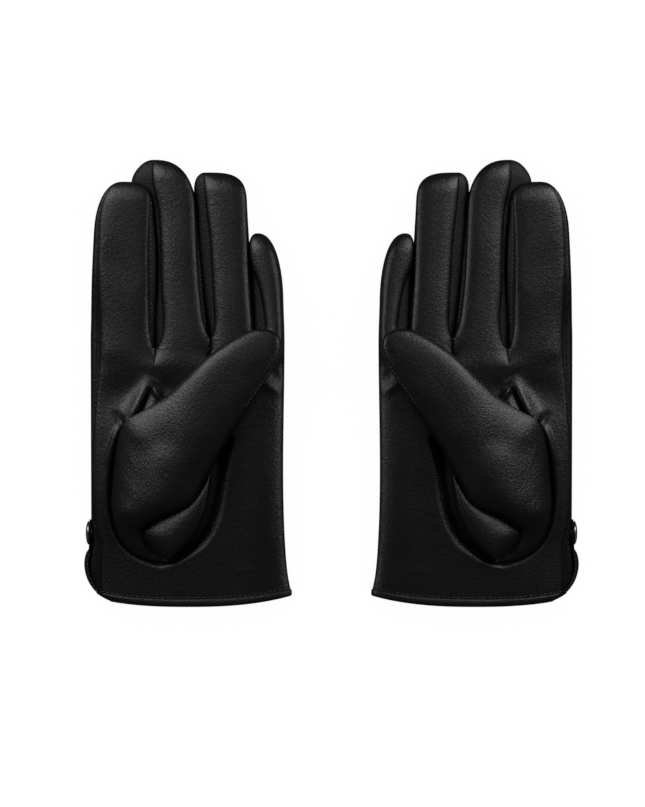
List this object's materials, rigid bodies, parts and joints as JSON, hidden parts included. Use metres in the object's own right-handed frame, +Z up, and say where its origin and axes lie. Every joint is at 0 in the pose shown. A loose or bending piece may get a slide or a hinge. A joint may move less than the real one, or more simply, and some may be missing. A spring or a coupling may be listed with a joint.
{
  "type": "pair of leather gloves",
  "caption": "Pair of full-finger sewn leather gloves lying palm up, thumb laid over the palm, with a bound hem and a side tab closed by a press snap.",
  "frame": {"origin": "middle of the pair's bounding box, on the surface that the gloves lie on", "axes": "+X across the pair from the left-hand glove to the right-hand one, +Y from the hems to the fingertips, +Z up out of the palms"},
  "size_m": [0.262, 0.2356, 0.0296],
  "materials": {
    "glove_leather": "satin",
    "strip_leather": "satin",
    "binding_leather": "matte",
    "lining_fleece": "matte",
    "snap_nickel": "polished"
  },
  "bodies": {
    "left_hand": {"left_palm_panel": "glove_leather", "left_back_panel": "glove_leather", "left_side_panel": "strip_leather", "left_index_middle_gusset": "strip_leather", "left_middle_ring_gusset": "strip_leather", "left_ring_little_gusset": "strip_leather", "left_hem_binding": "binding_leather", "left_wrist_lining": "lining_fleece", "left_thumb_base": "glove_leather", "left_snap_stud": "snap_nickel"},
    "left_index_finger": {"left_index_palm": "glove_leather", "left_index_back": "glove_leather", "left_index_side": "strip_leather", "left_index_fork_right": "strip_leather"},
    "left_middle_finger": {"left_middle_palm": "glove_leather", "left_middle_back": "glove_leather", "left_middle_fork_left": "strip_leather", "left_middle_fork_right": "strip_leather"},
    "left_ring_finger": {"left_ring_palm": "glove_leather", "left_ring_back": "glove_leather", "left_ring_fork_left": "strip_leather", "left_ring_fork_right": "strip_leather"},
    "left_little_finger": {"left_little_palm": "glove_leather", "left_little_back": "glove_leather", "left_little_fork_left": "strip_leather"},
    "left_thumb": {"left_thumb_front": "glove_leather", "left_thumb_back": "glove_leather"},
    "left_tab": {"left_side_tab": "strip_leather", "left_snap_cap": "snap_nickel", "left_snap_socket": "snap_nickel"},
    "right_hand": {"right_palm_panel": "glove_leather", "right_back_panel": "glove_leather", "right_side_panel": "strip_leather", "right_index_middle_gusset": "strip_leather", "right_middle_ring_gusset": "strip_leather", "right_ring_little_gusset": "strip_leather", "right_hem_binding": "binding_leather", "right_wrist_lining": "lining_fleece", "right_thumb_base": "glove_leather", "right_snap_stud": "snap_nickel"},
    "right_index_finger": {"right_index_palm": "glove_leather", "right_index_back": "glove_leather", "right_index_side": "strip_leather", "right_index_fork_right": "strip_leather"},
    "right_middle_finger": {"right_middle_palm": "glove_leather", "right_middle_back": "glove_leather", "right_middle_fork_left": "strip_leather", "right_middle_fork_right": "strip_leather"},
    "right_ring_finger": {"right_ring_palm": "glove_leather", "right_ring_back": "glove_leather", "right_ring_fork_left": "strip_leather", "right_ring_fork_right": "strip_leather"},
    "right_little_finger": {"right_little_palm": "glove_leather", "right_little_back": "glove_leather", "right_little_fork_left": "strip_leather"},
    "right_thumb": {"right_thumb_front": "glove_leather", "right_thumb_back": "glove_leather"},
    "right_tab": {"right_side_tab": "strip_leather", "right_snap_cap": "snap_nickel", "right_snap_socket": "snap_nickel"}
  },
  "joints": [
    {"name": "right_glove_lift", "type": "slide", "parent": "left_hand", "child": "right_hand", "axis": [0, 0, 1], "range_m": [0, 0.12]},
    {"name": "left_index_bend", "type": "hinge", "parent": "left_hand", "child": "left_index_finger", "pos_m": [-0.1101, 0.0224, 0.01455], "axis": [1, 0, 0], "range_deg": [0, 90]},
    {"name": "left_middle_bend", "type": "hinge", "parent": "left_hand", "child": "left_middle_finger", "pos_m": [-0.0799, 0.0246, 0.01475], "axis": [1, 0, 0], "range_deg": [0, 90]},
    {"name": "left_ring_bend", "type": "hinge", "parent": "left_hand", "child": "left_ring_finger", "pos_m": [-0.0539, 0.0322, 0.01415], "axis": [1, 0, 0], "range_deg": [0, 90]},
    {"name": "left_little_bend", "type": "hinge", "parent": "left_hand", "child": "left_little_finger", "pos_m": [-0.0326, 0.0342, 0.01295], "axis": [1, 0, 0], "range_deg": [0, 90]},
    {"name": "left_thumb_lift", "type": "hinge", "parent": "left_hand", "child": "left_thumb", "pos_m": [-0.0691, -0.017, 0.02975], "axis": [0.8, -0.6, 0], "range_deg": [0, 75]},
    {"name": "left_tab_open", "type": "hinge", "parent": "left_hand", "child": "left_tab", "pos_m": [-0.1283, -0.111, 0.0064], "axis": [0, 0, 1], "range_deg": [0, 100]},
    {"name": "right_index_bend", "type": "hinge", "parent": "right_hand", "child": "right_index_finger", "pos_m": [0.1101, 0.0224, 0.01455], "axis": [1, 0, 0], "range_deg": [0, 90]},
    {"name": "right_middle_bend", "type": "hinge", "parent": "right_hand", "child": "right_middle_finger", "pos_m": [0.0799, 0.0246, 0.01475], "axis": [1, 0, 0], "range_deg": [0, 90]},
    {"name": "right_ring_bend", "type": "hinge", "parent": "right_hand", "child": "right_ring_finger", "pos_m": [0.0539, 0.0322, 0.01415], "axis": [1, 0, 0], "range_deg": [0, 90]},
    {"name": "right_little_bend", "type": "hinge", "parent": "right_hand", "child": "right_little_finger", "pos_m": [0.0326, 0.0342, 0.01295], "axis": [1, 0, 0], "range_deg": [0, 90]},
    {"name": "right_thumb_lift", "type": "hinge", "parent": "right_hand", "child": "right_thumb", "pos_m": [0.0691, -0.017, 0.02975], "axis": [0.8, 0.6, 0], "range_deg": [0, 75]},
    {"name": "right_tab_open", "type": "hinge", "parent": "right_hand", "child": "right_tab", "pos_m": [0.1283, -0.111, 0.0064], "axis": [0, 0, -1], "range_deg": [0, 100]}
  ]
}
